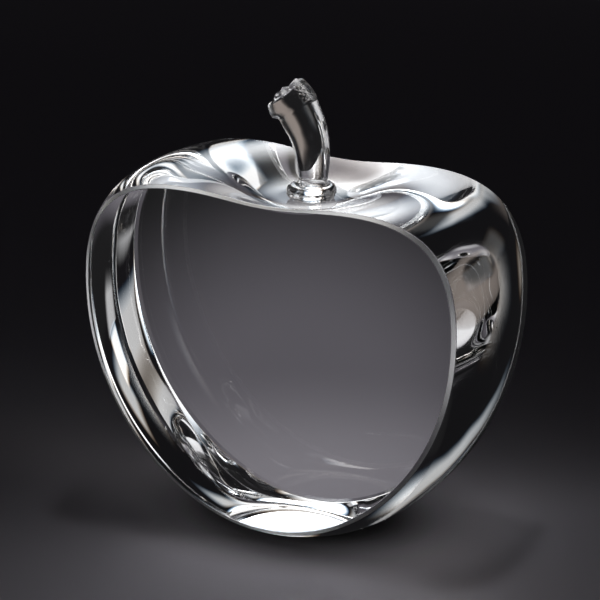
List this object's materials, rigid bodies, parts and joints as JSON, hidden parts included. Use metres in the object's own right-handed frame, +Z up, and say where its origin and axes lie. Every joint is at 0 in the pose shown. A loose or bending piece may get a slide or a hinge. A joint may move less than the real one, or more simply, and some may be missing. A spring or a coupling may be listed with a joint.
{
  "type": "art glass apple",
  "caption": "Clear crystal apple paperweight, sliced flat at front and back, with a bent glass stem bonded into its dimple; stands on a ground facet.",
  "frame": {"origin": "centre of the ground facet that the apple stands on", "axes": "+Z up, +X to the right across the front face, +Y from the front face to the back face"},
  "size_m": [0.1, 0.039, 0.1034],
  "materials": {
    "crystal": "polished clear crystal",
    "stem_glass": "fire-polished clear glass",
    "adhesive": "clear cured adhesive"
  },
  "bodies": {
    "root": {"apple_body": "crystal", "stem": "stem_glass", "stem_bond": "adhesive"}
  },
  "joints": []
}
